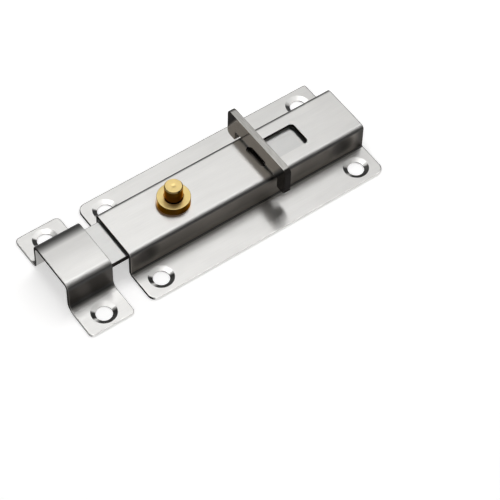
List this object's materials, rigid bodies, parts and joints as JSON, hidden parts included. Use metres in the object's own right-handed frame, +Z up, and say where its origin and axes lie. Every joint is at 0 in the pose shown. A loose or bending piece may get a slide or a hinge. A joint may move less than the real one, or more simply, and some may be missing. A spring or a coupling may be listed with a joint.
{
  "type": "push-button slide bolt",
  "caption": "Surface-mounted door bolt: a flat bar slides in a hat-shaped steel housing by a cross handle into a separate keeper and is locked by a sprung brass push button.",
  "frame": {"origin": "middle of the housing's four screw holes, on the mounting face", "axes": "+X along the bolt from its nose to the tail, +Z up off the door"},
  "size_m": [0.1252, 0.0492, 0.021],
  "materials": {
    "stainless": "brushed along the length",
    "bolt_steel": "brushed",
    "handle_steel": "polished, darker than the sheet",
    "plain_steel": "mill",
    "spring_steel": "drawn wire",
    "brass": "turned and polished"
  },
  "bodies": {
    "body": {"housing": "stainless", "guide": "plain_steel", "spring_cup": "plain_steel", "collar": "brass", "spring": "spring_steel"},
    "bolt": {"bolt": "bolt_steel", "handle": "handle_steel"},
    "button": {"button_pin": "brass", "lock_ring": "plain_steel"},
    "keeper": {"keeper": "stainless"}
  },
  "joints": [
    {"name": "bolt_slide", "type": "slide", "parent": "body", "child": "bolt", "axis": [1, 0, 0], "range_m": [0, 0.0165]},
    {"name": "button_press", "type": "slide", "parent": "body", "child": "button", "axis": [0, 0, -1], "range_m": [0, 0.0035], "stiffness_N_per_m": 800, "springref_m": -0.003, "deforming": ["spring"]},
    {"name": "keeper_draw", "type": "slide", "parent": "body", "child": "keeper", "axis": [-1, 0, 0], "range_m": [0, 0.03]}
  ]
}
